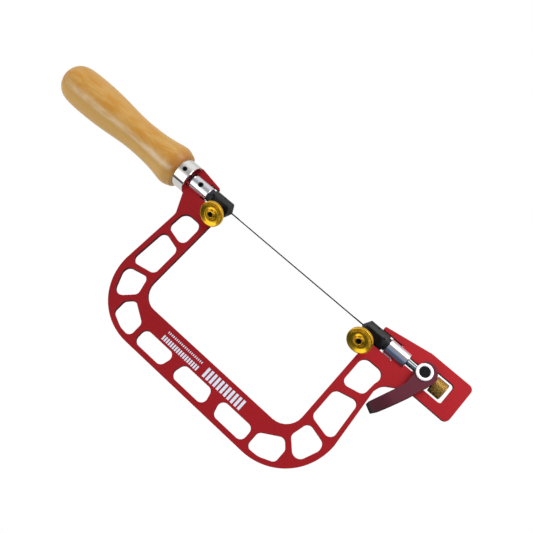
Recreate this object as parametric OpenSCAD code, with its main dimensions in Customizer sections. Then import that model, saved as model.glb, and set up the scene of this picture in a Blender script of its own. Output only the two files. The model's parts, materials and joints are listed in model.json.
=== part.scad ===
// Coping saw with a one-piece aluminium truss frame, a 130 mm blade, swivelling
// blade clamps and a cam-lever tensioner. Units mm. +X toward the handle,
// +Z toward the spine, knobs face -Y when the clamps point straight out.
// Origin: middle of the free blade, on the swivel axis, mid-plane of the plate.

/* [Blade] */
// overall length of the blade
blade_len = 130; // [120:1:170]
// height of the blade behind the teeth
blade_h = 0.95; // [0.6:0.05:3]
// thickness of the blade
blade_t = 0.35; // [0.2:0.05:0.8]
// distance from the origin to the heel clamp nose
nose_heel = 60.05; // [50:0.05:80]
// distance from the origin to the toe clamp nose
nose_toe = 59.4; // [50:0.05:80]

/* [Frame plate] */
// thickness of the frame plate
plate_t = 3.2; // [2:0.1:6]
// centre line of the mirrored truss along X
truss_cx = -2.4; // [-10:0.1:10]
// half width of the throat opening
throat_half = 66.8; // [50:0.1:90]
// depth from the blade to the inside of the spine
throat_depth = 86; // [50:0.5:150]
// height of the spine band
spine_h = 27.8; // [15:0.1:40]
// radius of the two big outside corners
corner_r = 41.3; // [20:0.1:60]
// fillet radius in the throat corners
throat_r = 13.5; // [5:0.5:30]
// half height of the end plate at the toe
toe_half = 14.7; // [12:0.1:20]
// distance from the origin to the toe end
toe_x = 139.5; // [125:0.5:160]

/* [Clamps] */
// angle of both clamps from straight out, toward the spine
swivel_rest = 45; // [0:5:90]
// diameter of the swivelling clamp bodies
clamp_d = 12; // [10:0.1:14]
// length of the clamp body from nose to rear face
clamp_len = 19.3; // [15:0.1:25]
// distance from the nose to the knob screw
knob_s = 5.8; // [4:0.1:8]
// diameter of the knob
knob_d = 18; // [14:0.1:24]
// diameter of the clamp screw
screw_d = 3.9; // [3:0.1:5]

/* [Barrels] */
// diameter of the steel barrels
barrel_d = 11.6; // [10:0.1:14]
// width of the guide web left between the barrel grooves
web_w = 9; // [7:0.1:10]
// diameter of the tension rod
rod_d = 4; // [3:0.1:5]

/* [Lever] */
// distance from the origin to the lever pivot
pivot_x = 108.9; // [100:0.1:120]
// diameter of the pivot pin
pin_d = 7.9; // [6:0.1:9]
// half thickness of the lever over its cheeks
lever_half = 8.5; // [6:0.1:10]
// half width of the fork between the cheeks
fork_half = 6.2; // [5:0.1:7]
// cam radius with the lever closed
cam_r = 8.75; // [7:0.05:10]
// cam drop over the whole lever swing
cam_drop = 1.5; // [0.5:0.1:3]
// whole lever swing in degrees
cam_swing = 115; // [60:5:120]
// length of the brass nut
nut_len = 8.8; // [6:0.1:12]
// diameter of the brass nut
nut_d = 11.8; // [8:0.1:12]

/* [Handle] */
// outside diameter of the ferrule
ferrule_d = 22; // [18:0.1:26]
// wall of the ferrule
ferrule_w = 1; // [0.5:0.1:2]
// where the ferrule mouth starts
ferrule_x = 98.4; // [90:0.1:110]
// where the turned handle starts
grip_x = 108.4; // [100:0.1:120]
// scale of the handle radius
grip_fat = 1; // [0.8:0.05:1.2]

/* [Hidden] */
$fn = 96;

red = [0.66, 0.09, 0.12];
steel = [0.78, 0.78, 0.80];
black = [0.10, 0.10, 0.11];
gold = [0.80, 0.58, 0.12];
brass = [0.75, 0.60, 0.25];
plum = [0.33, 0.11, 0.14];
maple = [0.83, 0.66, 0.40];

barrel_a = 80.4;
heel_barrel_a = 80.9;
heel_barrel_b = 99.4;
toe_barrel_b = 96.6;
screw_x = 89.4;
seat_x = 84.5;
spine_z = throat_depth + spine_h;
nut_a = pivot_x + cam_r + 0.05;
tip_y = 1.55;
// distance from the clamp axis to the flat under the knob
flat_y = 4.15;

// ---- outlines with rounded corners --------------------------------------
// each vertex is [x, z, radius]; the arc at a vertex is tangent to both edges
function unit(v) = v / norm(v);
function corner(a, p, b, r, n) =
  let (u = unit([a[0] - p[0], a[1] - p[1]]), w = unit([b[0] - p[0], b[1] - p[1]]),
       half = acos(max(-1, min(1, u * w))) / 2,
       c = [p[0], p[1]] + unit(u + w) * (r / sin(half)),
       s = [p[0], p[1]] + u * (r / tan(half)) - c,
       e = [p[0], p[1]] + w * (r / tan(half)) - c,
       a0 = atan2(s[1], s[0]), d0 = atan2(e[1], e[0]) - a0,
       d = d0 > 180 ? d0 - 360 : d0 < -180 ? d0 + 360 : d0)
  [for (i = [0 : n]) c + r * [cos(a0 + d * i / n), sin(a0 + d * i / n)]];
function rounded(v, n = 7) =
  let (m = len(v))
  [for (i = [0 : m - 1])
    each (v[i][2] > 0
      ? corner(v[(i + m - 1) % m], v[i], v[(i + 1) % m], v[i][2], n)
      : [[v[i][0], v[i][1]]])];
function mirrored(v) = [for (p = v) [-p[0], p[1], p[2]]];
function arc(c, r, a, b, n) =
  [for (i = [0 : n]) [c[0] + r * cos(a + (b - a) * i / n), c[1] + r * sin(a + (b - a) * i / n), 0]];

// plate-shaped solid: outline in XZ, thickness t centred on y
module slab(pts, t, y = 0)
  translate([0, y + t / 2, 0]) rotate([90, 0, 0]) linear_extrude(t) polygon(pts);
// round bar along X from a to b
module bar(a, b, r) translate([a, 0, 0]) rotate([0, 90, 0]) cylinder(r = r, h = b - a);
// solid of revolution about X from [x, r] points
module turned(pts) rotate([0, 90, 0]) rotate_extrude() polygon([for (p = pts) [p[1], p[0]]]);
// cylinder standing on the -Y side: from y = -a out to y = -b
module post(x, a, b, r) translate([x, -a, 0]) rotate([90, 0, 0]) cylinder(r = r, h = b - a);

// ---- frame plate ---------------------------------------------------------
arm_w_top = 93.4;
arc_c = arm_w_top - corner_r;
ridge_r = corner_r - 3.7;
// truss windows, given for the handle side from the truss centre line
win_mid = [[15.3, spine_z - 3.75, 4.2], [-15.3, spine_z - 3.75, 4.2], [-12.5, throat_depth + 12.35, 4.2], [12.5, throat_depth + 12.35, 4.2]];
win_spine = [[48.4, spine_z - 3.75, 4.2], [23.5, spine_z - 3.75, 4.2], [20.3, throat_depth + 12.35, 4.2], [48.4, throat_depth + 12.35, 4.2]];
win_bend = [[52.4, 110, 3.6], [62.4, 109.2, 12], [72.4, 105, 3.6], [72.4, 95, 4], [67, 89.3, 4], [52.4, 98.1, 4]];
win_knee = [[68.8, 85.6, 4.2], [81.2, 98, 5.2], [88.6, 80.8, 7], [87.3, 75.8, 4.2], [72.3, 72.1, 4.2]];
win_arm = [[70.7, 68.1, 4.2], [90, 72.2, 4.5], [87.9, 40.8, 4], [70.7, 45.2, 4.8]];
win_heel = [[70.7, 41.3, 4.4], [88.1, 37, 4.6], [87.2, 20.9, 6], [70.7, 20.9, 6]];
win_toe = [[-70.9, 39.8, 4], [-86.7, 36, 4.4], [-87.4, 26, 14], [-89.6, 16, 5.4], [-70.9, 16, 5.4]];

function outline() = concat(
  // throat, from the toe side down the arm and round the spine
  [[-throat_half + truss_cx, 6.4, 1.2]],
  [[-throat_half + truss_cx, throat_depth, throat_r]],
  [[throat_half + truss_cx, throat_depth, throat_r]],
  // heel arm and the clamp slot
  [[throat_half + truss_cx, 6.3, 1.2], [seat_x, 6.3, 0], [seat_x, web_w / 2 + 0.05, 0],
   [100.1, web_w / 2 + 0.05, 0.8], [100.1, -web_w / 2 - 0.05, 0.8],
   [seat_x, -web_w / 2 - 0.05, 0], [seat_x, -6.3, 0], [78.6, -6.3, 0.5], [78.6, -7.9, 0.9]],
  // shoulders and tang inside the ferrule
  [[ferrule_x - 0.1, -11.1, 0], [ferrule_x - 0.1, -9.3, 0], [106, -9.3, 0.8], [106, -3.4, 0],
   [138, -3.4, 1.5], [138, 3.4, 1.5], [106, 3.4, 0], [106, 9.3, 0.8],
   [ferrule_x - 0.1, 9.3, 0], [ferrule_x - 0.1, 11.1, 0], [96.6, 11.4, 1],
   [88.9, 26.6, 8]],
  // handle-side arm, big corner, spine, toe-side corner
  arc([truss_cx + arc_c, spine_z - corner_r], corner_r, 0, 90, 22),
  arc([truss_cx - arc_c, spine_z - corner_r], corner_r, 90, 180, 22),
  // finger scallop and end plate
  [[-92.5, 29.5, 4], [-94.2, 23.3, 9], [-107.3, toe_half, 5]],
  [[-toe_x, toe_half, 3.6], [-toe_x, -toe_half, 3.6], [-105.6, -toe_half, 5],
   [-71.6, -8.7, 1.1], [-71.6, -6.4, 0.5]],
  // toe slot: wide mouth, guide seat, rod slot
  [[-88.2, -6.4, 0], [-88.2, -web_w / 2 - 0.05, 0], [-96.8, -web_w / 2 - 0.05, 0.4],
   [-96.8, -3.15, 0], [-112, -3.15, 0], [-112, 3.15, 0], [-96.8, 3.15, 0],
   [-96.8, web_w / 2 + 0.05, 0.4], [-88.2, web_w / 2 + 0.05, 0], [-88.2, 6.4, 0]]);

module frame_plate() color(red) difference() {
  slab(rounded(outline()), plate_t);
  for (w = [win_spine, win_bend, win_knee, win_arm]) for (s = [0, 1])
    translate([truss_cx, 0, 0]) slab(rounded(s == 0 ? w : mirrored(w)), plate_t + 1);
  for (w = [win_mid, win_heel, win_toe])
    translate([truss_cx, 0, 0]) slab(rounded(w), plate_t + 1);
  // relief holes in the slot corners
  for (z = [-1, 1]) {
    translate([seat_x, 3, z * 6.2]) rotate([90, 0, 0]) cylinder(r = 0.55, h = 6);
    translate([-88.2, 3, z * 6.3]) rotate([90, 0, 0]) cylinder(r = 0.55, h = 6);
  }
  // pin seat and the nut window
  translate([-pivot_x, 3, 0]) rotate([90, 0, 0]) cylinder(d = pin_d + 0.04, h = 6);
  slab(rounded([[-129.4, -7.7, 2.3], [-114.3, -7.7, 1], [-114.3, 7.7, 1], [-129.4, 7.7, 2.3]]), plate_t + 1);
  slab([[-115, -3.15], [-111, -3.15], [-111, 3.15], [-115, 3.15]], plate_t + 1);
}

// ---- handle --------------------------------------------------------------
// radius of the turned handle at distances behind its front edge
grip = [[0, 11.3], [0.7, 13.2], [2.7, 14.1], [5.2, 15.05], [8.2, 15.5], [12.2, 15], [18.2, 13.95],
        [27.2, 12.9], [37.2, 12.42], [44.2, 12.38], [52.2, 12.74], [62.2, 13.7], [72.2, 14.65],
        [82.2, 15.25], [92.2, 15.5], [102.2, 15.35], [108.5, 14.75], [112.7, 13.4], [115.9, 11.1],
        [118.2, 8.2], [119.7, 4.6], [120.2, 0]];
// cubic through the listed stations, slopes from the neighbours
function slope(i) = (grip[i + 1][1] - grip[i - 1][1]) / (grip[i + 1][0] - grip[i - 1][0]);
function cubic(a, b, ma, mb, h, t) =
  a * (2 * pow(t, 3) - 3 * t * t + 1) + ma * h * (pow(t, 3) - 2 * t * t + t)
  + b * (3 * t * t - 2 * pow(t, 3)) + mb * h * (pow(t, 3) - t * t);
function grip_pts(n = 4) = concat(
  [for (i = [0 : 1]) [grip_x + grip[i][0], grip_fat * grip[i][1]]],
  [for (i = [1 : len(grip) - 6], k = [1 : n])
    let (h = grip[i + 1][0] - grip[i][0])
    [grip_x + grip[i][0] + h * k / n,
     grip_fat * cubic(grip[i][1], grip[i + 1][1], slope(i), slope(i + 1), h, k / n)]],
  [for (i = [len(grip) - 4 : len(grip) - 1]) [grip_x + grip[i][0], grip_fat * grip[i][1]]]);

module handle_grip() color(maple) difference() {
  turned(concat([[grip_x, 0]], grip_pts()));
  // recess for the ferrule skirt, leaving the tenon it slides over
  difference() {
    bar(grip_x - 1, 112.2, ferrule_d / 2 + 0.03);
    bar(grip_x - 2, 113, ferrule_d / 2 - ferrule_w - 0.03);
  }
  bar(grip_x - 2, 145.3, 5.03);
}

module ferrule() color(steel) difference() {
  turned([[ferrule_x, ferrule_d / 2 - ferrule_w], [ferrule_x, ferrule_d / 2 - 0.35], [ferrule_x + 0.35, ferrule_d / 2],
    [112, ferrule_d / 2], [112, ferrule_d / 2 - ferrule_w]]);
  post(104.1, 5, 14, 1.82);
}

module tang_socket() color(steel) difference() {
  union() {
    bar(101.8, 107.7, ferrule_d / 2 - ferrule_w - 0.02);
    bar(107.2, 145, 5);
  }
  translate([101, -1.64, -9.4]) cube([5.1, 3.28, 18.8]);
  translate([100, -1.64, -3.45]) cube([38.2, 3.28, 6.9]);
  post(104.1, 1, 14, 1.77);
}

// grub screw along -Y from depth a out to b with a hex socket of width af
module grub(x, a, b, r, af, tip_r, tip) difference() {
  union() {
    post(x, a + tip, b, r);
    post(x, a, a + tip + 0.2, tip_r);
  }
  translate([x, -b + 2, 0]) rotate([90, 0, 0]) cylinder(d = af / cos(30), h = 3, $fn = 6);
}
module ferrule_set_screw() color(black) grub(104.1, 1.64, 10.4, 1.75, 1.6, 1.2, 0.6);

// ---- barrels -------------------------------------------------------------
module barrel_blank(a, b) difference() {
  turned([[a, 0], [a, barrel_d / 2 - 0.5], [a + 0.5, barrel_d / 2], [b - 0.5, barrel_d / 2], [b, barrel_d / 2 - 0.5], [b, 0]]);
  bar(a - 1, 92.4, 3.55);
  for (s = [-1, 1])
    translate([a - 1, -plate_t / 2 - 0.04, s > 0 ? web_w / 2 : -10 - web_w / 2]) cube([b - a + 2, plate_t + 0.08, 10]);
}
module heel_barrel() color(steel) difference() {
  barrel_blank(heel_barrel_a, heel_barrel_b);
  post(screw_x, 1, 9, 2);
}
module heel_barrel_set_screw() color(black) grub(screw_x, 3.06, 5.5, 1.97, 2, 1.2, 0.7);
module toe_barrel() color(steel) difference() {
  mirror([1, 0, 0]) barrel_blank(barrel_a, toe_barrel_b);
  mirror([0, 1, 0]) post(-screw_x, 1, 9, 2);
  bar(-toe_barrel_b - 1, -91, rod_d / 2 + 0.01);
}
module toe_barrel_set_screw() color(black) mirror([0, 1, 0]) grub(-screw_x, 3.06, 5.5, 1.97, 2, 1.2, 0.7);

// ---- clamps --------------------------------------------------------------
// every clamp piece is drawn for the heel with its knob straight out along -Y
// and then placed: swung about X and, for the toe, mirrored
module placed(toe) {
  if (toe) mirror([1, 0, 0]) rotate([-swivel_rest, 0, 0]) children();
  else rotate([-swivel_rest, 0, 0]) children();
}
module clamp_body(nose_x, back_x, front_x) difference() {
  turned([[nose_x, 0], [nose_x, 0.9], [nose_x + 2.9, clamp_d / 2 - 0.1], [nose_x + 3.1, clamp_d / 2],
    [back_x - 0.4, clamp_d / 2], [back_x, clamp_d / 2 - 0.4],
    [back_x, 4.7], [front_x - 0.1, 4.7], [front_x - 0.1, 3.5], [88, 3.5], [88, 2.9], [90.8, 2.9], [90.8, 3.5], [91.7, 3.5], [92, 3.2], [92, 0]]);
  // flat under the knob
  translate([nose_x - 1, -clamp_d, -clamp_d]) cube([16.2, clamp_d - flat_y, 2 * clamp_d]);
  // blade slot across the nose
  translate([nose_x - 1, -blade_t / 2 - 0.03, -clamp_d]) cube([10.6, blade_t + 0.06, 2 * clamp_d]);
  // relief hole at the bottom of the slot
  translate([nose_x + 9.6, 0, -clamp_d]) cylinder(r = 0.8, h = 2 * clamp_d);
  // screw bore, from the slot to the flat
  post(nose_x + knob_s, 0, clamp_d, screw_d / 2 + 0.05);
  // radius where the flat runs out
  translate([nose_x + 15.2, -flat_y - 1.15, -clamp_d]) cylinder(r = 1.2, h = 2 * clamp_d);
  // detent pin hole, 45 degrees from the knob
  rotate([45, 0, 0]) post(nose_x + 16.6, 2.5, clamp_d, 1.12);
}
module detent_pin(nose_x) rotate([45, 0, 0]) difference() {
  post(nose_x + 16.6, 2.6, 5.7, 1.1);
  post(nose_x + 16.6, 5.2, 6, 0.5);
}
module pressure_pad(nose_x) post(nose_x + knob_s, blade_t / 2 + 0.02, tip_y - 0.01, screw_d / 2);
module clamp_screw(nose_x) difference() {
  post(nose_x + knob_s, tip_y, 19.7, screw_d / 2);
  translate([nose_x + knob_s, -17.2, 0]) rotate([90, 0, 0]) cylinder(d = 2 / cos(30), h = 3, $fn = 6);
}
module knob(nose_x) translate([nose_x + knob_s, 0, 0]) rotate([90, 0, 0]) rotate_extrude() polygon([
  [screw_d / 2 + 0.01, 12], [3.8, 12], [4.4, 12.6], [4.4, 14.9], [4.8, 15.8], [5.8, 16.3], [8.2, 16.5],
  [8.8, 16.65], [knob_d / 2, 16.95], [knob_d / 2, 18.7], [8.8, 19.25], [8.3, 19.45], [7.7, 19.35],
  [7.2, 18.9], [6.5, 18.45], [4.6, 18.4], [3.5, 18.7], [3.1, 19.3], [3, 20], [2.7, 20.3],
  [screw_d / 2 + 0.01, 20.3]]);

module heel_clamp_body() color(black) placed(false) clamp_body(nose_heel, nose_heel + clamp_len - 0.75, heel_barrel_a);
module heel_detent_pin() color(steel) placed(false) detent_pin(nose_heel);
module heel_pressure_pad() color(steel) placed(false) pressure_pad(nose_heel);
module heel_clamp_screw() color(black) placed(false) clamp_screw(nose_heel);
module heel_knob() color(gold) placed(false) knob(nose_heel);
module toe_clamp_body() color(black) placed(true) clamp_body(nose_toe, nose_toe + clamp_len, barrel_a);
module toe_detent_pin() color(steel) placed(true) detent_pin(nose_toe);
module toe_pressure_pad() color(steel) placed(true) pressure_pad(nose_toe);
module toe_clamp_screw() color(black) placed(true) clamp_screw(nose_toe);
module toe_knob() color(gold) placed(true) knob(nose_toe);

// blade: pointed teeth along one edge, plain at both clamped ends
teeth_pitch = 0.95;
teeth_from = -52;
teeth_n = 110;
module blade() color(black) rotate([-swivel_rest, 0, 0])
  slab(concat([[-blade_len / 2, blade_h / 2], [-blade_len / 2, -blade_h / 2]],
    [for (i = [0 : teeth_n - 1]) each [[teeth_from + i * teeth_pitch, -blade_h / 2],
      [teeth_from + (i + 0.35) * teeth_pitch, -blade_h / 2 + 0.3],
      [teeth_from + (i + 0.95) * teeth_pitch, -blade_h / 2]]],
    [[blade_len / 2, -blade_h / 2], [blade_len / 2, blade_h / 2]]), blade_t);

// ---- tension rod, nut, pin and lever -------------------------------------
module tension_rod() color(steel) turned([[-nut_a - nut_len + 0.6, 0], [-nut_a - nut_len + 0.6, rod_d / 2 - 0.4],
  [-nut_a - nut_len + 1, rod_d / 2], [-92.9, rod_d / 2], [-92.6, rod_d / 2 - 0.3], [-92.6, 0]]);
module tension_nut() color(brass) turned([[-nut_a, rod_d / 2 + 0.04], [-nut_a, nut_d / 2 - 0.8], [-nut_a - 0.8, nut_d / 2],
  [-nut_a - nut_len + 0.8, nut_d / 2], [-nut_a - nut_len, nut_d / 2 - 0.8], [-nut_a - nut_len, rod_d / 2 + 0.04]]);

ring_a = lever_half + 0.08;
ring_b = lever_half + 1.3;
module pivot_pin() color(black) difference() {
  translate([-pivot_x, 0, 0]) rotate([90, 0, 0]) union() {
    translate([0, 0, -ring_a]) cylinder(d = pin_d, h = 2 * ring_a);
    translate([0, 0, -ring_b + 0.35]) cylinder(r = 3.7, h = 2 * ring_b - 0.7);
  }
  bar(-pivot_x - 6, -pivot_x + 6, rod_d / 2 + 0.1);
}
module pivot_ring() translate([-pivot_x, 0, 0]) rotate([90, 0, 0]) rotate_extrude()
  polygon([[3.71, ring_a], [5.65, ring_a], [5.65, ring_b - 0.4], [5.3, ring_b - 0.06], [5, ring_b], [4.4, ring_b], [4, ring_b - 0.1], [3.71, ring_b - 0.4]]);
module pivot_ring_front() color(steel) pivot_ring();
module pivot_ring_back() color(steel) mirror([0, 1, 0]) pivot_ring();

// lever outline from the pivot: arm leaning toward the frame, round heel
lean = 24;
arm_pts = [[-8.55, 2.6, 3], [-3.3, 16.9, 30], [1.4, 27.5, 40], [5.9, 37, 12], [8.9, 41.2, 0.6],
  [15, 38.1, 0.8], [11.5, 30.1, 40], [7.9, 21.6, 20], [4.6, 13.2, 9], [4.5, -2, 1], [-1, -4, 0]];
// cam face: radius falls evenly with the angle turned from closed
function cam_at(a) = cam_r - cam_drop * max(0, min(cam_swing + 8, a)) / cam_swing;
cam_pts = concat([for (a = [-24 : 6 : 174]) cam_at(a) * [-cos(a), sin(a)]],
  [[4.4, -2], [2, -6], [-3.5, -6.9]]);
// arm thickness: full to the shoulder, then curving down to the tip
taper_a = 27;
taper_b = 45.5;
function taper(t) = lever_half - 4.4 * pow(t, 1.7);
module cam_lever() color(plum) translate([-pivot_x, 0, 0]) difference() {
  union() {
    intersection() {
      union() {
        slab(rounded(arm_pts), 2 * lever_half);
        translate([-0.95, lever_half, 0.4]) rotate([90, 0, 0]) intersection() {
          cylinder(r = 7.95, h = 2 * lever_half);
          translate([-10, -10, -1]) cube([15.4, 20, 2 * lever_half + 2]);
        }
      }
      rotate([0, lean, 0]) translate([-30, 0, 0]) rotate([90, 0, 90]) linear_extrude(60)
        polygon(concat([[-lever_half, -20]], [for (s = [-1, 1]) each
          [for (i = [0 : 8]) let (t = s < 0 ? i / 8 : 1 - i / 8)
            [s * taper(t), taper_a + (taper_b - taper_a) * t]]], [[lever_half, -20]]));
    }
  }
  // fork between the cheeks, over the nut and the plate
  difference() {
    slab([[-30, -20], [-30, 60], [30, 60], [30, -20]], 2 * fork_half);
    slab([for (p = [[-30, 35.2], [30, 35.2], [30, 60], [-30, 60]]) [p[0] * cos(lean) + p[1] * sin(lean), p[1] * cos(lean) - p[0] * sin(lean)]], 2 * fork_half + 1);
    for (s = [-1, 1]) slab(cam_pts, fork_half - 2, s * (fork_half + 2.2) / 2);
  }
  translate([0, 12, 0]) rotate([90, 0, 0]) cylinder(d = pin_d + 0.1, h = 24);
}

frame_plate();
tang_socket();
ferrule();
ferrule_set_screw();
handle_grip();
heel_barrel();
heel_barrel_set_screw();
pivot_pin();
pivot_ring_front();
pivot_ring_back();
heel_clamp_body();
heel_detent_pin();
blade();
heel_pressure_pad();
heel_clamp_screw();
heel_knob();
toe_barrel();
toe_barrel_set_screw();
tension_rod();
tension_nut();
toe_clamp_body();
toe_detent_pin();
toe_pressure_pad();
toe_clamp_screw();
toe_knob();
cam_lever();
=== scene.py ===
import bpy, bmesh, json, math
from mathutils import Matrix, Vector

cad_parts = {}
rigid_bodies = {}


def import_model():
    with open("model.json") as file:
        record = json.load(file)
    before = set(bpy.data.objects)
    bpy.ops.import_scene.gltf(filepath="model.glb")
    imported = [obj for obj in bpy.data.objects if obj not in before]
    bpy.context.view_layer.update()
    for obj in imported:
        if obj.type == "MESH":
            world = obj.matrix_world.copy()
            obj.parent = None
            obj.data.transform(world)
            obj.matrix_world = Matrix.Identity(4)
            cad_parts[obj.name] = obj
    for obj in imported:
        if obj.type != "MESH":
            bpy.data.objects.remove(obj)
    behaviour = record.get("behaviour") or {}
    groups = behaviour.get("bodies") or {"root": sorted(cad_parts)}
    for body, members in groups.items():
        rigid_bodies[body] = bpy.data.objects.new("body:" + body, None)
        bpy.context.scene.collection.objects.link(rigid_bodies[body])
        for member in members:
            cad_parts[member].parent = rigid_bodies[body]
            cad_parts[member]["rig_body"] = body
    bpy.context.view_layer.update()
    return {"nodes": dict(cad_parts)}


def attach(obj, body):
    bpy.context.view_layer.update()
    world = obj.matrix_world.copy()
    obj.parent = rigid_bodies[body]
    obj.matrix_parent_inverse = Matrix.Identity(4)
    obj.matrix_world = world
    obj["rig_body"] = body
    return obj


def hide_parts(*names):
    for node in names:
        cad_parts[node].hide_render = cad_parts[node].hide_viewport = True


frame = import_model()
NODES = frame["nodes"]
MM = 0.001
sc = bpy.context.scene
sc.view_settings.view_transform = "Standard"
sc.view_settings.look = "None"


# ------------------------------------------------------------------ nodes --
def srgb(r, g, b):
    def f(v):
        v /= 255.0
        return v / 12.92 if v <= 0.04045 else ((v + 0.055) / 1.055) ** 2.4
    return (f(r), f(g), f(b), 1.0)


class Tree:
    """Short helpers for building one node material."""

    def __init__(self, name):
        self.m = bpy.data.materials.new(name)
        self.m.use_nodes = True
        self.t = self.m.node_tree
        self.t.nodes.clear()
        self.out = self.t.nodes.new("ShaderNodeOutputMaterial")
        self.b = self.t.nodes.new("ShaderNodeBsdfPrincipled")
        self.t.links.new(self.b.outputs[0], self.out.inputs[0])
        self.tc = self.t.nodes.new("ShaderNodeTexCoord").outputs["Object"]

    def put(self, sock, v):
        if v is None:
            return
        if isinstance(v, bpy.types.NodeSocket):
            self.t.links.new(v, sock)
        else:
            sock.default_value = v

    def set(self, **kw):
        for k, v in kw.items():
            self.put(self.b.inputs[k.replace("_", " ")], v)

    def map(self, scale=(1, 1, 1), rot=(0, 0, 0), loc=(0, 0, 0), src=None):
        n = self.t.nodes.new("ShaderNodeMapping")
        n.inputs["Location"].default_value = loc
        n.inputs["Rotation"].default_value = rot
        n.inputs["Scale"].default_value = scale
        self.put(n.inputs["Vector"], src or self.tc)
        return n.outputs[0]

    def noise(self, vec, scale=1.0, detail=3.0, rough=0.5, dist=0.0, out="Fac"):
        n = self.t.nodes.new("ShaderNodeTexNoise")
        n.inputs["Scale"].default_value = scale
        n.inputs["Detail"].default_value = detail
        n.inputs["Roughness"].default_value = rough
        n.inputs["Distortion"].default_value = dist
        self.put(n.inputs["Vector"], vec)
        return n.outputs["Fac" if out == "Fac" else "Color"]

    def wave(self, vec, scale, kind="BANDS", direction="X", dist=0.0, detail=0.0, dscale=1.0, profile="SIN"):
        n = self.t.nodes.new("ShaderNodeTexWave")
        n.wave_type = kind
        n.wave_profile = profile
        if kind == "BANDS":
            n.bands_direction = direction
        else:
            n.rings_direction = direction
        n.inputs["Scale"].default_value = scale
        n.inputs["Distortion"].default_value = dist
        n.inputs["Detail"].default_value = detail
        n.inputs["Detail Scale"].default_value = dscale
        self.put(n.inputs["Vector"], vec)
        return n.outputs["Fac"]

    def math(self, op, a, b=None, c=None, clamp=False):
        n = self.t.nodes.new("ShaderNodeMath")
        n.operation = op
        n.use_clamp = clamp
        for i, v in enumerate((a, b, c)):
            if v is not None:
                self.put(n.inputs[i], v)
        return n.outputs[0]

    def vmath(self, op, a, b=None, scale=None):
        n = self.t.nodes.new("ShaderNodeVectorMath")
        n.operation = op
        self.put(n.inputs[0], a)
        if b is not None:
            self.put(n.inputs[1], b)
        if scale is not None:
            self.put(n.inputs["Scale"], scale)
        return n.outputs["Value" if op in ("LENGTH", "DOT_PRODUCT", "DISTANCE") else "Vector"]

    def sep(self, v):
        n = self.t.nodes.new("ShaderNodeSeparateXYZ")
        self.put(n.inputs[0], v)
        return n.outputs

    def comb(self, x=0.0, y=0.0, z=0.0):
        n = self.t.nodes.new("ShaderNodeCombineXYZ")
        for s, v in zip(n.inputs, (x, y, z)):
            self.put(s, v)
        return n.outputs[0]

    def ramp(self, fac, stops, mode="LINEAR"):
        n = self.t.nodes.new("ShaderNodeValToRGB")
        n.color_ramp.interpolation = mode
        e = n.color_ramp.elements
        while len(e) < len(stops):
            e.new(0.5)
        for el, (p, c) in zip(e, stops):
            el.position = p
            el.color = c if len(c) == 4 else (*c, 1)
        self.put(n.inputs[0], fac)
        return n.outputs[0]

    def rng(self, v, a, b, c=0.0, d=1.0, smooth=False):
        n = self.t.nodes.new("ShaderNodeMapRange")
        if smooth:
            n.interpolation_type = "SMOOTHSTEP"
        self.put(n.inputs["Value"], v)
        for k, x in (("From Min", a), ("From Max", b), ("To Min", c), ("To Max", d)):
            self.put(n.inputs[k], x)
        return n.outputs[0]

    def mix(self, fac, a, b, mode="MIX"):
        n = self.t.nodes.new("ShaderNodeMix")
        n.data_type = "RGBA"
        n.blend_type = mode
        self.put(n.inputs[0], fac)
        self.put(n.inputs[6], a)
        self.put(n.inputs[7], b)
        return n.outputs[2]

    def bump(self, height, dist, strength=1.0, normal=None):
        n = self.t.nodes.new("ShaderNodeBump")
        n.inputs["Strength"].default_value = strength
        n.inputs["Distance"].default_value = dist
        self.put(n.inputs["Height"], height)
        if normal is not None:
            self.put(n.inputs["Normal"], normal)
        return n.outputs[0]

    def geo(self, name):
        if not hasattr(self, "_g"):
            self._g = self.t.nodes.new("ShaderNodeNewGeometry")
        return self._g.outputs[name]


# -------------------------------------------------------------- materials --
def anodised(name, base, wall_shade_colour, metal=0.6, rough=0.36, speck=0.03, tip_shade=0.0):
    """Satin anodised plate: bead-blasted grain, faint blotches, painted shade darkening the cut walls and the +X end,
    and, when asked, painted shade towards the tip.
    """
    t = Tree(name)
    fine = t.noise(t.map((1, 1, 1)), 2600, 2, 0.6)
    blot = t.noise(t.map((1, 1, 1)), 28, 3, 0.6)
    col = t.mix(t.rng(blot, 0.3, 0.7, 0, 1), base, tuple(c * 0.9 for c in base[:3]) + (1,))
    col = t.mix(t.rng(fine, 0.35, 0.65, 0, speck), col, (1, 0.75, 0.75, 1), "SOFT_LIGHT")
    ny = t.math("ABSOLUTE", t.sep(t.geo("Normal"))[1])
    # painted shade: the colour darkens by up to 13% towards black going to +X (the heel and handle end)
    col = t.mix(t.rng(t.sep(t.tc)[0], -0.06, 0.09, 0, 0.13), col, (0.0, 0.0, 0.0, 1))
    # painted shade: faces whose normal is far from ±Y (the cut walls) take the dark wall shade colour
    col = t.mix(t.rng(ny, 0.25, 0.8, 0, 1), wall_shade_colour, col)
    # painted shade: when set, the colour darkens towards near-black from z 20 to 41 mm, the lever's tip
    if tip_shade:
        col = t.mix(t.rng(t.sep(t.tc)[2], 0.02, 0.041, 0, tip_shade, True), col, (0.004, 0.001, 0.003, 1))
    face = t.rng(ny, 0.25, 0.8, 0, 1)
    t.set(Base_Color=col, Metallic=t.math("MULTIPLY", face, metal))
    t.set(Roughness=t.math("ADD", t.rng(fine, 0.3, 0.7, rough - 0.015, rough + 0.02), t.rng(face, 0, 1, 0.35, 0)))
    t.set(Specular_IOR_Level=t.rng(face, 0, 1, 0.08, 0.4))
    t.set(Normal=t.bump(fine, 0.00002, 0.06))
    return t.m


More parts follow.
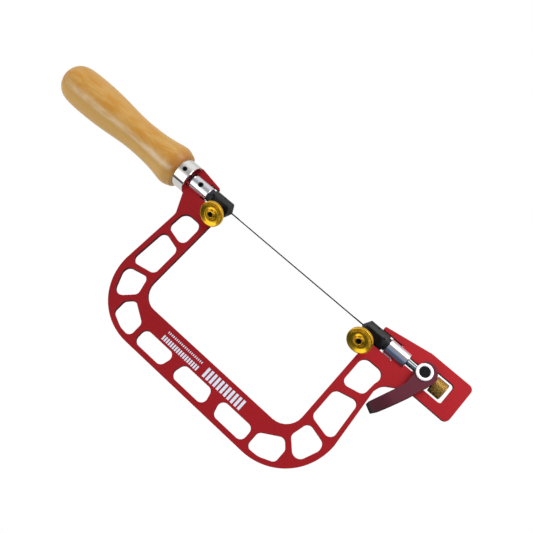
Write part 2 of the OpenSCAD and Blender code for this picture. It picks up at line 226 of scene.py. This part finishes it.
def turned_metal(name, base, rough=0.14, lines=0.35, axis="X", pitch=0.00035, tint=None, metal=1.0, spots=0.0):
    """Lathe-turned or ground metal: fine rings across the axis, faint smudges."""
    t = Tree(name)
    x = t.sep(t.tc)["XYZ".index(axis)]
    fine = t.noise(t.comb(t.math("MULTIPLY", x, 1 / pitch), 0.3, 0.7), 1.0, 3, 0.7)
    smudge = t.noise(t.map((1, 1, 1)), 160, 4, 0.6)
    col = t.mix(t.rng(smudge, 0.35, 0.75, 0, 1), base, tint or tuple(c * 0.9 for c in base[:3]) + (1,))
    t.set(Base_Color=col, Metallic=metal)
    t.set(Roughness=t.rng(smudge, 0.3, 0.7, rough * 0.8, rough * 1.25))
    t.set(Normal=t.bump(fine, pitch * 0.05, lines))
    return t.m


def black_anod(name, base, rough, grain=0.0009):
    """Matt black anodised block with the milling grain showing."""
    t = Tree(name)
    s = t.sep(t.tc)
    v = t.comb(t.math("MULTIPLY", s[0], 1 / 0.006), t.math("MULTIPLY", s[1], 1 / grain), t.math("MULTIPLY", s[2], 1 / grain))
    g = t.noise(v, 1.0, 4, 0.65)
    f = t.noise(t.map((1, 1, 1)), 3000, 2)
    col = t.mix(t.rng(g, 0.35, 0.7, 0, 1), base, tuple(min(1, c * 2.2) for c in base[:3]) + (1,))
    t.set(Base_Color=col, Metallic=0.35, Roughness=t.rng(g, 0.3, 0.7, rough - 0.08, rough + 0.08))
    t.set(Normal=t.bump(t.math("ADD", g, t.math("MULTIPLY", f, 0.5)), 0.00006, 0.5))
    return t.m


def wood(name):
    """Clear-lacquered maple: growth rings cut along the grain, orange heart streaks, pores, plus a painted highlight
    band and painted light on the +Z flank.
    """
    t = Tree(name)
    s = t.sep(t.tc)
    # everything below is in units of one millimetre
    x = t.math("MULTIPLY", s[0], 1000.0)
    y = t.math("MULTIPLY", s[1], 1000.0)
    z = t.math("MULTIPLY", s[2], 1000.0)
    slow = t.noise(t.comb(t.math("MULTIPLY", x, 0.018), t.math("MULTIPLY", y, 0.05), t.math("MULTIPLY", z, 0.05)), 1.0, 3, 0.5)
    warp = t.math("MULTIPLY", t.math("SUBTRACT", slow, 0.5), 26.0)
    # rings about a pith that lies outside the blank and drifts along it
    py = t.math("ADD", y, t.math("ADD", 30.0, t.math("MULTIPLY", x, 0.05)))
    pz = t.math("ADD", z, t.math("ADD", -9.0, warp))
    r = t.math("SQRT", t.math("ADD", t.math("MULTIPLY", py, py), t.math("MULTIPLY", pz, pz)))
    ring = t.wave(t.comb(t.math("MULTIPLY", r, 0.05), 0.0, 0.0), 4.2, dist=1.2, detail=3, dscale=2.0, profile="SAW")
    fib = t.noise(t.comb(t.math("MULTIPLY", x, 0.05), t.math("MULTIPLY", y, 1.6), t.math("MULTIPLY", z, 1.6)), 1.0, 5, 0.7)
    pore = t.noise(t.comb(t.math("MULTIPLY", x, 0.22), t.math("MULTIPLY", y, 5.0), t.math("MULTIPLY", z, 5.0)), 1.0, 2, 0.5)
    heart = t.noise(t.comb(t.math("MULTIPLY", x, 0.045), t.math("MULTIPLY", y, 0.16), t.math("MULTIPLY", z, 0.16)), 1.0, 4, 0.6)
    pale, honey, orange, brown = srgb(197, 159, 95), srgb(187, 144, 72), srgb(182, 123, 38), srgb(150, 92, 38)
    col = t.mix(t.rng(fib, 0.3, 0.7, 0, 1), pale, honey)
    # the heart streak runs along the side that faces -Y
    band = t.math("MULTIPLY", t.rng(t.math("ABSOLUTE", t.math("ADD", z, 1.5)), 1.0, 11.0, 1, 0, True), t.rng(y, 2.0, -9.0, 0, 1, True))
    streak = t.math("MULTIPLY", t.rng(heart, 0.38, 0.62, 0, 1, True), t.math("ADD", 0.25, t.math("MULTIPLY", band, 0.75)))
    col = t.mix(t.math("MULTIPLY", streak, 0.8), col, orange)
    col = t.mix(t.math("MULTIPLY", t.rng(ring, 0.5, 1.0, 0, 1), 0.5), col, orange)
    col = t.mix(t.math("MULTIPLY", t.rng(pore, 0.62, 0.75, 0, 1), 0.3), col, brown)
    # painted highlight: a pale sheen band 31 degrees up from -Y, standing in for a reflection on the lacquer
    ang = t.math("MULTIPLY", t.math("ARCTAN2", z, t.math("MULTIPLY", y, -1.0)), 180 / math.pi)
    painted_sheen = t.rng(t.math("ABSOLUTE", t.math("SUBTRACT", ang, 31.0)), 1.0, 14.0, 1, 0, True)
    sheen_breakup = t.noise(t.comb(t.math("MULTIPLY", x, 0.05), t.math("MULTIPLY", y, 0.2), t.math("MULTIPLY", z, 0.2)), 1.0, 3, 0.6)
    # fine growth lines, about a millimetre apart round the handle, gently curved
    drift = t.noise(t.comb(t.math("MULTIPLY", x, 0.02), t.math("MULTIPLY", ang, 0.012), 0.0), 1.0, 2, 0.5)
    arc_mm = t.math("ADD", t.math("MULTIPLY", ang, 0.22), t.math("ADD", t.math("MULTIPLY", drift, 12.0), t.math("MULTIPLY", x, 0.03)))
    line = t.wave(t.comb(t.math("MULTIPLY", arc_mm, 0.05), 0.0, 0.0), 5.2, dist=0.6, detail=2, dscale=3.0, profile="SAW")
    where = t.noise(t.comb(t.math("MULTIPLY", x, 0.03), t.math("MULTIPLY", ang, 0.04), 0.5), 1.0, 2, 0.5)
    col = t.mix(t.math("MULTIPLY", t.math("MULTIPLY", t.rng(line, 0.35, 1.0, 0, 1), t.rng(t.math("ABSOLUTE", ang), 170.0, 130.0, 0, 1, True)), t.rng(where, 0.35, 0.65, 0.18, 0.5)), col, srgb(166, 112, 50))
    # the painted highlight band fades out near both ends of the handle and is broken up by noise
    sheen_span = t.math("MULTIPLY", t.rng(x, 109.0, 114.0, 0, 1, True), t.rng(x, 226.0, 205.0, 0, 1, True))
    painted_sheen = t.math("MULTIPLY", t.math("MULTIPLY", painted_sheen, sheen_span), t.rng(sheen_breakup, 0.35, 0.62, 0.12, 0.62))
    # the front rounding is end grain: browner, with rings showing
    front = t.rng(x, 119.0, 107.5, 0, 1, True)
    tail = t.rng(x, 217.0, 229.0, 0, 1, True)
    col = t.mix(t.math("MULTIPLY", front, 0.7), col, brown)
    col = t.mix(t.math("MULTIPLY", tail, 0.35), col, srgb(200, 140, 70))
    # painted light: the +Z flank (25 to 165 degrees up from -Y), which the lamps leave in shade, is lightened towards
    # pale yellow
    lit_flank = t.math("MULTIPLY", t.rng(ang, 25.0, 60.0, 0, 0.5, True), t.rng(ang, 165.0, 110.0, 0, 1, True))
    col = t.mix(lit_flank, col, srgb(228, 182, 104))
    # painted highlight: the pale sheen band is mixed in last
    col = t.mix(painted_sheen, col, srgb(226, 206, 178))
    t.set(Base_Color=col, Roughness=t.rng(fib, 0.3, 0.7, 0.34, 0.46), Coat_Weight=0.22, Coat_Roughness=0.26, Coat_IOR=1.45)
    t.set(Subsurface_Weight=0.0, Specular_IOR_Level=0.12)
    t.set(Normal=t.bump(t.math("ADD", fib, t.math("MULTIPLY", ring, 0.4)), 0.00005, 0.35))
    return t.m


def knob_gold(name):
    """Bright gold anodising over fine turned rings; the object's own Z is the axis."""
    t = Tree(name)
    s = t.sep(t.tc)
    r = t.math("SQRT", t.math("ADD", t.math("MULTIPLY", s[0], s[0]), t.math("MULTIPLY", s[1], s[1])))
    ring = t.noise(t.comb(t.math("MULTIPLY", r, 4200.0), t.math("MULTIPLY", s[2], 3000.0), 0.0), 1.0, 2, 0.6)
    smudge = t.noise(t.map((1, 1, 1)), 240, 3, 0.6)
    col = t.mix(t.rng(smudge, 0.3, 0.7, 0, 1), srgb(226, 178, 46), srgb(216, 164, 34))
    t.set(Base_Color=col, Metallic=1.0, Roughness=t.rng(smudge, 0.3, 0.7, 0.24, 0.27))
    t.set(Normal=t.bump(ring, 0.000004, 0.08))
    return t.m


def rough_steel(name, base, rough, metal=0.9, spec=0.5):
    t = Tree(name)
    n = t.noise(t.map((0.15, 1, 1)), 1800, 3, 0.6)
    col = t.mix(t.rng(n, 0.35, 0.7, 0, 1), base, tuple(min(1, c * 1.8) for c in base[:3]) + (1,))
    t.set(Base_Color=col, Metallic=metal, Roughness=t.rng(n, 0.3, 0.7, rough - 0.06, rough + 0.06), Specular_IOR_Level=spec)
    t.set(Normal=t.bump(n, 0.00003, 0.3))
    return t.m


def enamel(name, base):
    """Pad-printed white ink."""
    t = Tree(name)
    n = t.noise(t.map((1, 1, 1)), 1500, 3)
    t.set(Base_Color=t.mix(t.rng(n, 0.35, 0.65, 0, 1), base, tuple(c * 0.88 for c in base[:3]) + (1,)), Roughness=0.5)
    return t.m


M = {
    # the second colour of each anodised finish is the painted shade for its cut walls
    "red": anodised("red_satin", srgb(172, 25, 33), srgb(60, 4, 10)),
    "plum": anodised("plum_satin", srgb(94, 33, 47), srgb(30, 3, 12), metal=0.5, rough=0.42, speck=0.03, tip_shade=0.45),
    "steel": turned_metal("ground_steel", (0.72, 0.73, 0.76, 1), 0.13, 0.3),
    "nickel": turned_metal("nickel_plate", (0.83, 0.81, 0.77, 1), 0.09, 0.15),
    "ring": turned_metal("turned_aluminium", (0.95, 0.95, 0.95, 1), 0.4, 0.1, axis="Y", metal=0.3),
    "alu": turned_metal("plain_alu", (0.7, 0.7, 0.71, 1), 0.3, 0.3),
    "rod": turned_metal("steel_rod", (0.19, 0.215, 0.22, 1), 0.35, 0.3),
    "brass": turned_metal("brass_nut", srgb(156, 121, 60), 0.27, 0.1),
    "black": black_anod("black_anod", (0.0085, 0.0085, 0.0095, 1), 0.52),
    "screw": rough_steel("black_oxide", (0.006, 0.006, 0.007, 1), 0.42, 0.6),
    "pin": rough_steel("pin_black", (0.003, 0.003, 0.003, 1), 0.6, 0.0, 0.12),
    "blade": rough_steel("blade_steel", (0.006, 0.005, 0.0035, 1), 0.7, 0.2, 0.08),
    "gold": knob_gold("gold_anod"),
    "wood": wood("lacquered_maple"),
    "ink": enamel("pale_ink", (0.6, 0.66, 0.74, 1)),
}


def paint(node, key):
    o = NODES[node]
    o.data.materials.clear()
    o.data.materials.append(M[key])
    return o


def soften(o, width, segs=2, angle=30, weld=True):
    if weld:
        w = o.modifiers.new("weld", "WELD")
        w.merge_threshold = 1e-6
    b = o.modifiers.new("bevel", "BEVEL")
    b.width = width
    b.segments = segs
    b.limit_method = "ANGLE"
    b.angle_limit = math.radians(angle)
    b.harden_normals = False
    return o


for n, k in {
    "frame_plate": "red", "tang_socket": "alu", "ferrule": "nickel", "ferrule_set_screw": "screw",
    "handle_grip": "wood", "heel_barrel": "steel", "heel_barrel_set_screw": "screw", "pivot_pin": "pin",
    "pivot_ring_front": "ring", "pivot_ring_back": "ring", "heel_clamp_body": "black",
    "heel_detent_pin": "screw", "blade": "blade", "heel_pressure_pad": "steel", "heel_clamp_screw": "screw",
    "heel_knob": "gold", "toe_barrel": "steel", "toe_barrel_set_screw": "screw", "tension_rod": "rod",
    "tension_nut": "brass", "toe_clamp_body": "black", "toe_detent_pin": "screw", "toe_pressure_pad": "steel",
    "toe_clamp_screw": "screw", "toe_knob": "gold", "cam_lever": "plum",
}.items():
    paint(n, k)


# ----------------------------------------------------------------- pieces --
def new_obj(name, verts, faces, mat, smooth=True, sharp=35, matrix=None):
    me = bpy.data.meshes.new(name)
    me.from_pydata([tuple(v) for v in verts], [], faces)
    bm = bmesh.new()
    bm.from_mesh(me)
    bmesh.ops.remove_doubles(bm, verts=bm.verts, dist=1e-7)
    bmesh.ops.recalc_face_normals(bm, faces=bm.faces)
    bm.to_mesh(me)
    bm.free()
    for p in me.polygons:
        p.use_smooth = smooth
    if smooth:
        me.set_sharp_from_angle(angle=math.radians(sharp))
    me.materials.append(mat)
    o = bpy.data.objects.new(name, me)
    sc.collection.objects.link(o)
    if matrix is not None:
        o.matrix_world = matrix
    return o


def revolve(name, prof, mat, n=96, wobble=None, matrix=None, sharp=35, twist=0.0):
    """Solid of revolution about local Z from [r, z] stations in mm; wobble(r, z, angle) trims the radius."""
    verts, faces = [], []
    m = len(prof)
    for j, (r, z) in enumerate(prof):
        for i in range(n):
            a = 2 * math.pi * i / n
            q = r if wobble is None else wobble(r, z, a)
            verts.append((q * MM * math.cos(a), q * MM * math.sin(a), z * MM))
    for j in range(m - 1):
        for i in range(n):
            k = (i + 1) % n
            faces.append((j * n + i, j * n + k, (j + 1) * n + k, (j + 1) * n + i))
    if prof[0] == prof[-1]:
        pass
    return new_obj(name, verts, faces, mat, sharp=sharp, matrix=matrix)


def frame_of(origin, z_axis, x_axis=(1, 0, 0)):
    z = Vector(z_axis).normalized()
    x = (Vector(x_axis) - z * Vector(x_axis).dot(z)).normalized()
    y = z.cross(x)
    m = Matrix((x, y, z)).transposed().to_4x4()
    m.translation = Vector(origin) * MM
    return m


# knobs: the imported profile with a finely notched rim
KNOB = [(2.0, 12), (3.8, 12), (4.2, 12.2), (4.4, 12.6), (4.4, 14.9), (4.52, 15.4), (4.8, 15.8), (5.25, 16.1), (5.8, 16.3), (7.2, 16.42), (8.2, 16.5),
        (8.6, 16.57), (8.82, 16.7), (8.95, 16.85), (9.0, 17.05), (9.0, 17.6), (9.0, 18.15), (9.0, 18.7), (8.93, 18.98), (8.8, 19.15), (8.6, 19.27),
        (8.35, 19.3), (8.1, 19.24), (7.7, 19.08), (7.2, 18.86), (6.7, 18.66), (6.2, 18.5), (5.6, 18.4), (5.0, 18.38), (4.6, 18.4), (4.0, 18.5),
        (3.55, 18.7), (3.25, 19.0), (3.1, 19.35), (3.02, 19.7), (2.97, 20.0), (2.88, 20.18), (2.7, 20.3), (2.2, 20.3), (2.0, 20.15), (2.0, 12)]


def rim(r, z, a):
    if r < 8.99 or z < 17.0 or z > 18.75:
        return r
    return r - 0.1 * (0.5 + 0.5 * math.cos(a * 60)) ** 2


KN = math.sqrt(0.5)
for side, x in (("heel", 65.85), ("toe", -65.2)):
    k = revolve(side + "_knob_turned", KNOB, M["gold"], n=240, wobble=rim, matrix=frame_of((x, 0, 0), (0, -KN, KN)))
    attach(k, NODES[side + "_knob"]["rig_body"])
    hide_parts(side + "_knob")


# handle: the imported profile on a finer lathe
GRIP = [(0, 11.3), (0.7, 13.2), (2.7, 14.1), (5.2, 15.05), (8.2, 15.5), (12.2, 15), (18.2, 13.95),
        (27.2, 12.9), (37.2, 12.42), (44.2, 12.38), (52.2, 12.74), (62.2, 13.7), (72.2, 14.65),
        (82.2, 15.25), (92.2, 15.5), (102.2, 15.35), (108.5, 14.75), (112.7, 13.4), (115.9, 11.1),
        (118.2, 8.2), (119.7, 4.6), (120.2, 0.02)]


def smooth_profile(p, n=6):
    out = [p[0]]
    for i in range(1, len(p)):
        a, b = p[i - 1], p[i]
        ma = (p[i][1] - p[i - 2][1]) / (p[i][0] - p[i - 2][0]) if i > 1 else (b[1] - a[1]) / (b[0] - a[0])
        mb = (p[i + 1][1] - p[i - 1][1]) / (p[i + 1][0] - p[i - 1][0]) if i + 1 < len(p) else (b[1] - a[1]) / (b[0] - a[0])
        h = b[0] - a[0]
        if i > len(p) - 4 or i == 1:
            out.append(b)
            continue
        for k in range(1, n + 1):
            t = k / n
            out.append((a[0] + h * t, a[1] * (2 * t**3 - 3 * t * t + 1) + ma * h * (t**3 - 2 * t * t + t)
                        + b[1] * (3 * t * t - 2 * t**3) + mb * h * (t**3 - t * t)))
    return out


def tail_round(p):
    """Replace the last stations by a smooth elliptical end."""
    keep = [q for q in p if q[0] <= 102.2]
    x0, r0 = keep[-1]
    a, b = 120.2 - x0, r0
    m = 16
    for i in range(1, m + 1):
        t = math.pi / 2 * i / m
        keep.append((x0 + a * math.sin(t), max(0.02, b * math.cos(t) ** 0.78)))
    return keep


hp = [(r, 108.4 + s) for s, r in smooth_profile(GRIP)]
inner = [(11.03, 112.2), (11.03, 108.4)]
h = revolve("grip_turned", inner + hp, M["wood"], n=128, matrix=None, sharp=50)
# lathe is about local Z; turn the mesh so it lies along X with object axes left alone
h.data.transform(Matrix(((0, 0, 1, 0), (0, 1, 0, 0), (-1, 0, 0, 0), (0, 0, 0, 1))))
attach(h, "frame")
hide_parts("handle_grip")


# brass nut: diamond knurl between two chamfers
NUT_A, NUT_L, NUT_R = 117.7, 8.8, 5.9
npro, mz, nseg = [], 64, 288
npro += [(2.04, 0.0), (5.4, 0.0), (5.6, 0.02)]
for i in range(mz + 1):
    npro.append((NUT_R, 0.32 + (NUT_L - 0.64) * i / mz))
npro += [(5.6, NUT_L - 0.02), (5.4, NUT_L), (2.04, NUT_L), (2.04, 0.0)]


def knurl(r, z, a):
    if r < 5.7:
        return r
    p = 0.8
    u = a * NUT_R
    k = 2 * math.pi * NUT_R / round(2 * math.pi * NUT_R / p)
    s1 = abs(((u + z) / k) % 1.0 - 0.5) * 2
    s2 = abs(((u - z) / k) % 1.0 - 0.5) * 2
    return r - 0.17 * max(max(0, 1 - s1 * 1.8), max(0, 1 - s2 * 1.8))


nut = revolve("nut_knurled", npro, M["brass"], n=nseg, wobble=knurl, matrix=frame_of((-NUT_A, 0, 0), (-1, 0, 0), (0, 0, 1)), sharp=28)
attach(nut, NODES["tension_nut"]["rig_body"])
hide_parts("tension_nut")

soften(NODES["frame_plate"], 0.00022, 2, 40)
soften(NODES["cam_lever"], 0.00025, 2, 40)

# rows of plain printed bars on the spine
def bar_row(name, x0, x1, pitch, width, z0, z1, y=-1.6, t=0.03):
    """A row of equal plain bars printed on the plate, all sizes in mm."""
    v, f = [], []
    count = int((x1 - x0) / pitch + 1e-6) + 1
    for i in range(count):
        a = x0 + i * pitch
        n = len(v)
        for q in (0, t):
            v += [(a * MM, (y - q) * MM, z0 * MM), ((a + width) * MM, (y - q) * MM, z0 * MM),
                  ((a + width) * MM, (y - q) * MM, z1 * MM), (a * MM, (y - q) * MM, z1 * MM)]
        f += [(n, n + 1, n + 2, n + 3), (n + 4, n + 5, n + 6, n + 7), (n, n + 1, n + 5, n + 4),
              (n + 1, n + 2, n + 6, n + 5), (n + 2, n + 3, n + 7, n + 6), (n + 3, n, n + 4, n + 7)]
    o = new_obj(name, v, f, M["ink"], smooth=False)
    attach(o, "frame")
    return o


bar_row("spine_bars_tall", -36.4, -3.0, 3.1, 1.9, 89.4, 96.6)
bar_row("spine_bars_short", 1.6, 32.6, 1.9, 1.15, 93.3, 96.8)
bar_row("spine_bars_fine", 1.8, 32.4, 1.5, 0.7, 89.6, 91.0)

# ------------------------------------------------------------------ stage --
def emitter(name, strength_cam, strength_other, colour=(1, 1, 1, 1)):
    m = bpy.data.materials.new(name)
    m.use_nodes = True
    t = m.node_tree
    t.nodes.clear()
    out = t.nodes.new("ShaderNodeOutputMaterial")
    lp = t.nodes.new("ShaderNodeLightPath")
    g = t.nodes.new("ShaderNodeNewGeometry")
    e1 = t.nodes.new("ShaderNodeEmission")
    e2 = t.nodes.new("ShaderNodeEmission")
    tr = t.nodes.new("ShaderNodeBsdfTransparent")
    e1.inputs[0].default_value = colour
    e1.inputs[1].default_value = strength_cam
    e2.inputs[0].default_value = colour
    e2.inputs[1].default_value = strength_other
    mix = t.nodes.new("ShaderNodeMixShader")
    t.links.new(lp.outputs["Is Camera Ray"], mix.inputs[0])
    t.links.new(e2.outputs[0], mix.inputs[1])
    t.links.new(e1.outputs[0], mix.inputs[2])
    mix2 = t.nodes.new("ShaderNodeMixShader")
    t.links.new(g.outputs["Backfacing"], mix2.inputs[0])
    t.links.new(mix.outputs[0], mix2.inputs[1])
    t.links.new(tr.outputs[0], mix2.inputs[2])
    t.links.new(mix2.outputs[0], out.inputs[0])
    return m


# the saw lies on a pale table: the table top faces -Y just behind it
TY = 0.0165
tb = bpy.data.meshes.new("table_top")
tb.from_pydata([(-0.8, TY, -0.8), (0.8, TY, -0.8), (0.8, TY, 0.8), (-0.8, TY, 0.8)], [], [(0, 1, 2, 3)])
tb.materials.append(emitter("pale_table", 1.0, 0.75))
table = bpy.data.objects.new("table_top", tb)
sc.collection.objects.link(table)

# studio surroundings, as a smooth function of direction
w = bpy.data.worlds.new("studio")
sc.world = w
w.use_nodes = True
wt = w.node_tree
wt.nodes.clear()


def wn(kind, **kw):
    n = wt.nodes.new(kind)
    for k, v in kw.items():
        setattr(n, k, v)
    return n


def wl(a, b):
    wt.links.new(a, b)


def wput(s, v):
    if isinstance(v, bpy.types.NodeSocket):
        wl(v, s)
    else:
        s.default_value = v


def wmath(op, a, b=None):
    n = wn("ShaderNodeMath", operation=op)
    wput(n.inputs[0], a)
    if b is not None:
        wput(n.inputs[1], b)
    return n.outputs[0]


def wstep(v, a, b):
    n = wn("ShaderNodeMapRange", interpolation_type="SMOOTHSTEP")
    wput(n.inputs["Value"], v)
    n.inputs["From Min"].default_value = a
    n.inputs["From Max"].default_value = b
    return n.outputs[0]


def wbox(v, a, b, s):
    return wmath("MULTIPLY", wstep(v, a - s, a + s), wmath("SUBTRACT", 1.0, wstep(v, b - s, b + s)))


tcw = wn("ShaderNodeTexCoord")
sep = wn("ShaderNodeSeparateXYZ")
wl(tcw.outputs["Generated"], sep.inputs[0])
dx, dy, dz = sep.outputs
theta = wmath("MULTIPLY", wmath("ARCTAN2", dz, wmath("MULTIPLY", dy, -1.0)), 180 / math.pi)
right = wstep(dx, 0.12, 0.24)
left = wmath("SUBTRACT", 1.0, right)
left_part = wmath("ADD", 0.38, wmath("ADD",
    wmath("MULTIPLY", wbox(theta, -72, -20, 4), 1.7),
    wmath("ADD", wmath("MULTIPLY", wbox(theta, 40, 120, 8), -0.26),
          wmath("MULTIPLY", wmath("MULTIPLY", wstep(wmath("MULTIPLY", theta, -1.0), 70, 82), wmath("SUBTRACT", 1.0, wstep(wmath("MULTIPLY", theta, -1.0), 100, 132))), 0.42))))
right_part = wmath("ADD", 0.45, wmath("ADD",
    wmath("MULTIPLY", wmath("MULTIPLY", wstep(theta, 0, 42), wmath("SUBTRACT", 1.0, wstep(theta, 64, 73))), 1.5),
    wmath("ADD", wmath("MULTIPLY", wbox(theta, 76, 100, 4), -0.38),
          wmath("MULTIPLY", wstep(wmath("MULTIPLY", theta, -1.0), 14, 60), 0.5))))
env = wmath("ADD", wmath("MULTIPLY", left_part, left), wmath("MULTIPLY", right_part, right))
bg_cam = wn("ShaderNodeBackground")
bg_cam.inputs[0].default_value = (1, 1, 1, 1)
bg_cam.inputs[1].default_value = 1.0
bg_env = wn("ShaderNodeBackground")
bg_env.inputs[0].default_value = (0.98, 0.99, 1.0, 1)
cool = wmath("MULTIPLY", left, wbox(theta, 14, 112, 8))
tint = wn("ShaderNodeCombineXYZ")
wput(tint.inputs[0], wmath("SUBTRACT", 0.98, wmath("MULTIPLY", cool, 0.3)))
wput(tint.inputs[1], wmath("SUBTRACT", 0.99, wmath("MULTIPLY", cool, 0.14)))
wput(tint.inputs[2], wmath("ADD", 1.0, wmath("MULTIPLY", cool, 0.3)))
wl(tint.outputs[0], bg_env.inputs[0])
wput(bg_env.inputs[1], env)
lp = wn("ShaderNodeLightPath")
mixw = wn("ShaderNodeMixShader")
wl(lp.outputs["Is Camera Ray"], mixw.inputs[0])
wl(bg_env.outputs[0], mixw.inputs[1])
wl(bg_cam.outputs[0], mixw.inputs[2])
outw = wn("ShaderNodeOutputWorld")
wl(mixw.outputs[0], outw.inputs[0])


def area(name, loc, target, size, power, colour=(1, 1, 1)):
    d = bpy.data.lights.new(name, "AREA")
    d.shape = "DISK"
    d.size = size
    d.energy = power
    d.color = colour
    o = bpy.data.objects.new(name, d)
    sc.collection.objects.link(o)
    o.location = loc
    o.rotation_mode = "QUATERNION"
    o.rotation_quaternion = (Vector(target) - Vector(loc)).to_track_quat("-Z", "Y")
    return o


area("key", (-0.25, -0.75, -0.75), (0, 0, 0.04), 0.5, 3.6)
fill = area("fill", (0.15, -0.75, 0.75), (0, 0, 0.04), 0.5, 2.5)
fill.visible_glossy = False

# ----------------------------------------------------------------- camera --
cam = bpy.data.cameras.new("view")
cam.sensor_width = 36.0
cam.lens = 680 / 533 * 36.0
cam.clip_start, cam.clip_end = 0.01, 20
co = bpy.data.objects.new("view", cam)
sc.collection.objects.link(co)
RGT = Vector((-0.741571, 0.008950, -0.670815))
DWN = Vector((-0.634947, 0.313467, 0.706102))
FWD = Vector((0.216598, 0.949557, -0.226775))
mc = Matrix((RGT, -DWN, -FWD)).transposed().to_4x4()
mc.translation = Vector((-85.234, -441.896, 118.254)) * MM
co.matrix_world = mc
sc.camera = co
